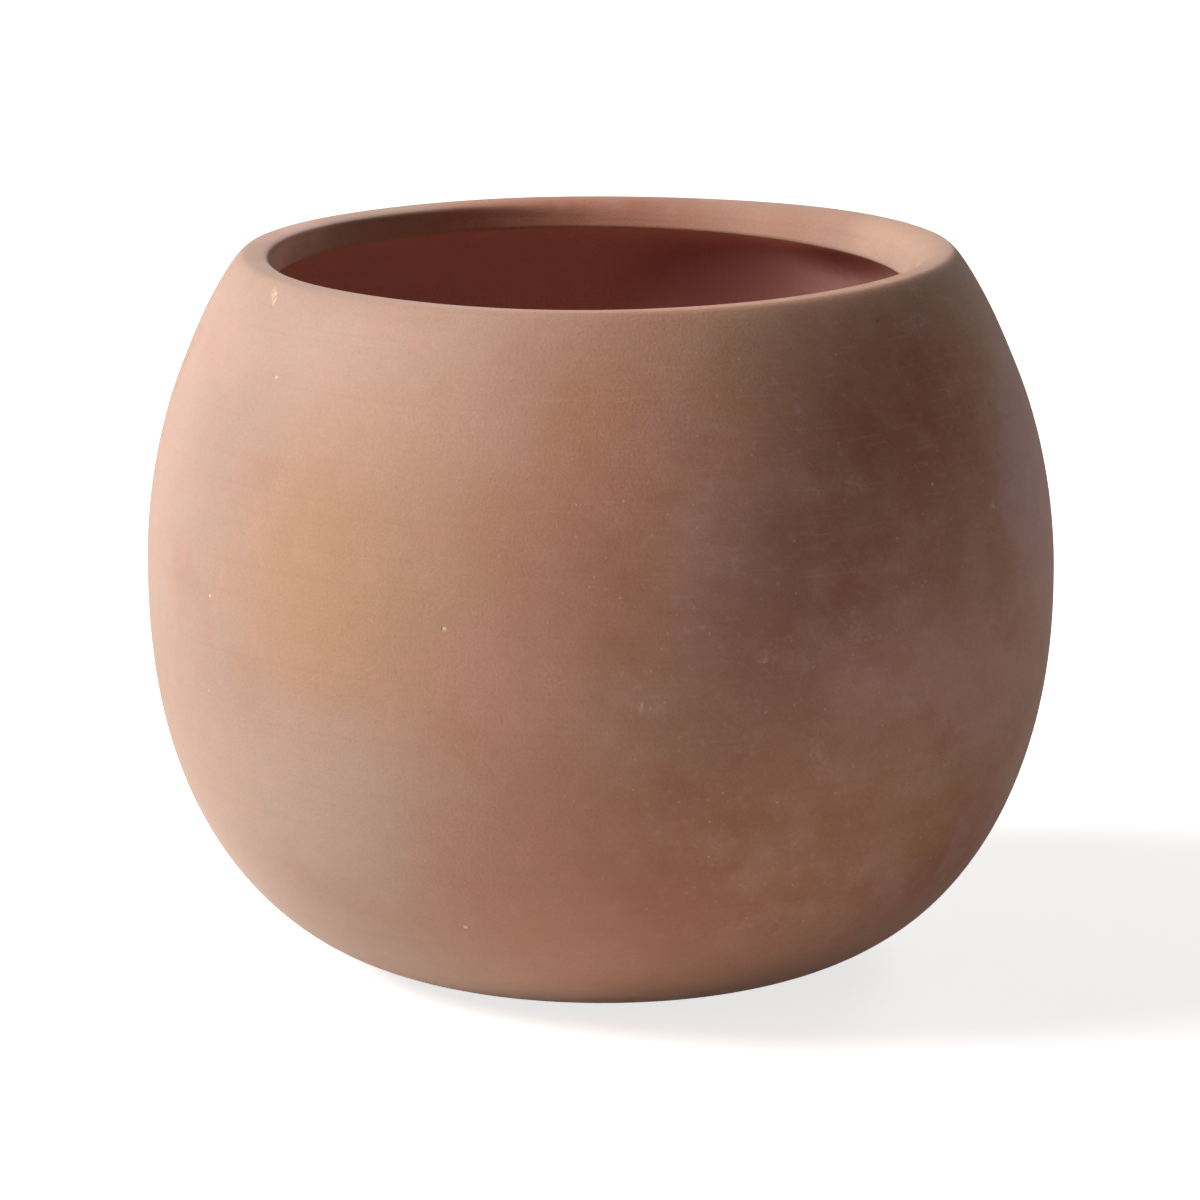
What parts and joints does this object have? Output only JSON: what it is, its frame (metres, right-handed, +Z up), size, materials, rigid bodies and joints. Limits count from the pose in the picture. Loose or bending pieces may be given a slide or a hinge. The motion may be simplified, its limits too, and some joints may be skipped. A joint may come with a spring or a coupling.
{
  "type": "round-bellied terracotta flower pot",
  "caption": "Low round terracotta floor pot with a rolled-in lip, flat foot ring and central drain hole, with a lift-out mesh screen and a pull-out rubber plug.",
  "frame": {"origin": "centre of the foot ring, on the plane that the pot stands on", "axes": "+Z up along the pot's axis, out through the mouth; +X is the side that the plug's pull tab points to; -Y faces the viewer"},
  "size_m": [0.4, 0.4, 0.315],
  "materials": {
    "terracotta": "unglazed matte fired clay with a pale powdery bloom",
    "screen_plastic": "moulded matte polyethylene mesh",
    "plug_rubber": "soft matte rubber"
  },
  "bodies": {
    "pot": {"pot_shell": "terracotta"},
    "screen": {"drain_screen": "screen_plastic"},
    "plug": {"drain_plug": "plug_rubber"}
  },
  "joints": [
    {"name": "screen_lift", "type": "slide", "parent": "pot", "child": "screen", "axis": [0, 0, 1], "range_m": [0, 0.33]},
    {"name": "plug_pull", "type": "slide", "parent": "pot", "child": "plug", "axis": [0, 0, -1], "range_m": [0, 0.03]}
  ]
}
